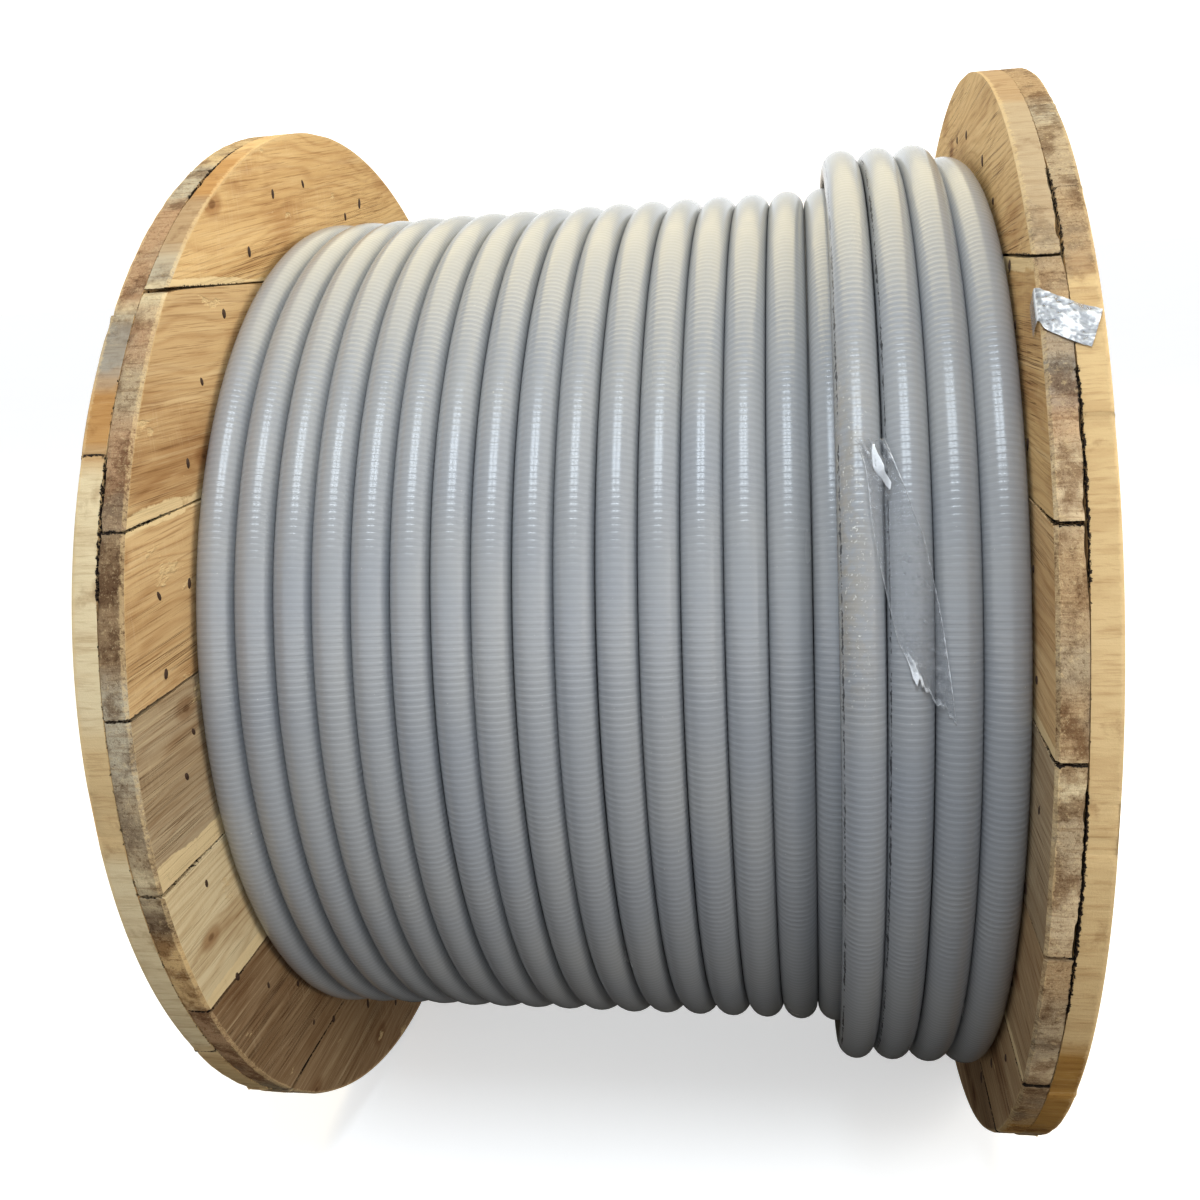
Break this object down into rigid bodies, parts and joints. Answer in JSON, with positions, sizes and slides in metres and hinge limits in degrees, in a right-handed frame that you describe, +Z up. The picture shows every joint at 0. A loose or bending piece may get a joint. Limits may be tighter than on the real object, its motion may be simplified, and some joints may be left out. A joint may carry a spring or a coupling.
{
  "type": "wooden cable drum",
  "caption": "Wooden plank drum with two crossed-ply flanges on a stave barrel, wound full with thick grey jacketed cable and lying on its rims.",
  "frame": {"origin": "centre of the drum, on the spindle bore's axis halfway between the flanges", "axes": "+X along the spindle bore, towards the flange that the short top layer lies against; +Z up as the drum lies on its rims; -Y towards the side that shows the tape"},
  "size_m": [1.0726, 1.5239, 1.524],
  "materials": {
    "board_wood": "rough sawn, weathered",
    "stave_wood": "rough sawn",
    "zinc_steel": "dull zinc",
    "cable_jacket": "semi-gloss PVC, finely ribbed",
    "clear_tape": "clear, wrinkled"
  },
  "bodies": {
    "root": {"left_inner_board_1": "board_wood", "left_inner_board_2": "board_wood", "left_inner_board_3": "board_wood", "left_inner_board_4": "board_wood", "left_inner_board_5": "board_wood", "left_inner_board_6": "board_wood", "left_inner_board_7": "board_wood", "left_outer_board_1": "board_wood", "left_outer_board_2": "board_wood", "left_outer_board_3": "board_wood", "left_outer_board_4": "board_wood", "left_outer_board_5": "board_wood", "left_outer_board_6": "board_wood", "left_outer_board_7": "board_wood", "left_outer_board_8": "board_wood", "right_inner_board_1": "board_wood", "right_inner_board_2": "board_wood", "right_inner_board_3": "board_wood", "right_inner_board_4": "board_wood", "right_inner_board_5": "board_wood", "right_inner_board_6": "board_wood", "right_inner_board_7": "board_wood", "right_outer_board_1": "board_wood", "right_outer_board_2": "board_wood", "right_outer_board_3": "board_wood", "right_outer_board_4": "board_wood", "right_outer_board_5": "board_wood", "right_outer_board_6": "board_wood", "right_outer_board_7": "board_wood", "right_outer_board_8": "board_wood", "barrel_staves": "stave_wood", "tie_rods": "zinc_steel", "rod_washers": "zinc_steel", "rod_nuts": "zinc_steel", "cable": "cable_jacket", "cable_tape": "clear_tape", "rim_tape": "clear_tape"}
  },
  "joints": []
}
